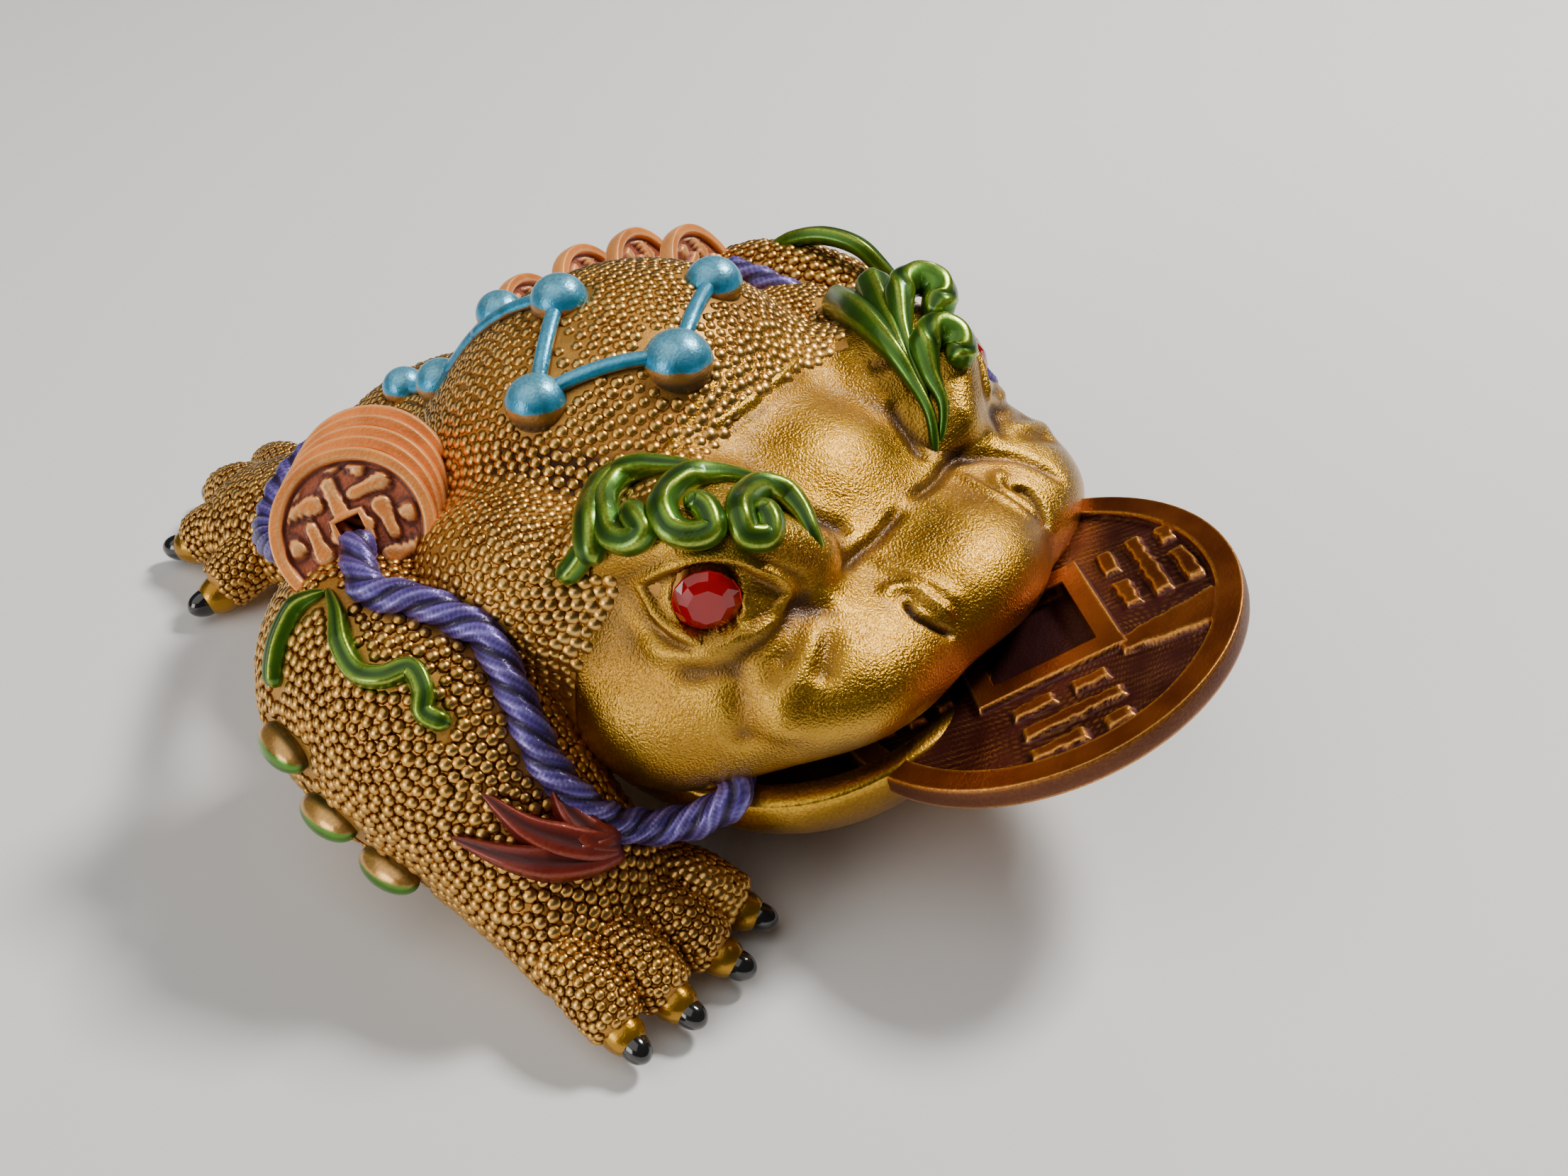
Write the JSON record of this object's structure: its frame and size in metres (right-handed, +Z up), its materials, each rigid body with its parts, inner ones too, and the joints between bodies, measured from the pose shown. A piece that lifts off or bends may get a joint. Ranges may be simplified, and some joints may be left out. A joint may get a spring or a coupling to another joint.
{
  "type": "money toad figure",
  "caption": "Cast three-legged money toad in gold paint, with a coin in its mouth, a rope of coins over its flanks and a pattern of joined stars on its back.",
  "frame": {"origin": "on the flat underside, on the toad's mirror plane, below the rump", "axes": "+Z up, the toad faces -Y, its right side is -X"},
  "size_m": [0.0658, 0.089, 0.0327],
  "materials": {
    "gold_paint": "cast resin under metallic gold paint with coloured metallic accents, satin clear coat",
    "copper_paint": "cast resin under copper-orange metallic paint with a dark purple-brown wash, semi-gloss",
    "red_glass": "faceted red glass with a foiled back, polished"
  },
  "bodies": {
    "root": {"toad": "gold_paint", "mouth_coin": "copper_paint", "eye_gem_right": "red_glass", "eye_gem_left": "red_glass"}
  },
  "joints": []
}
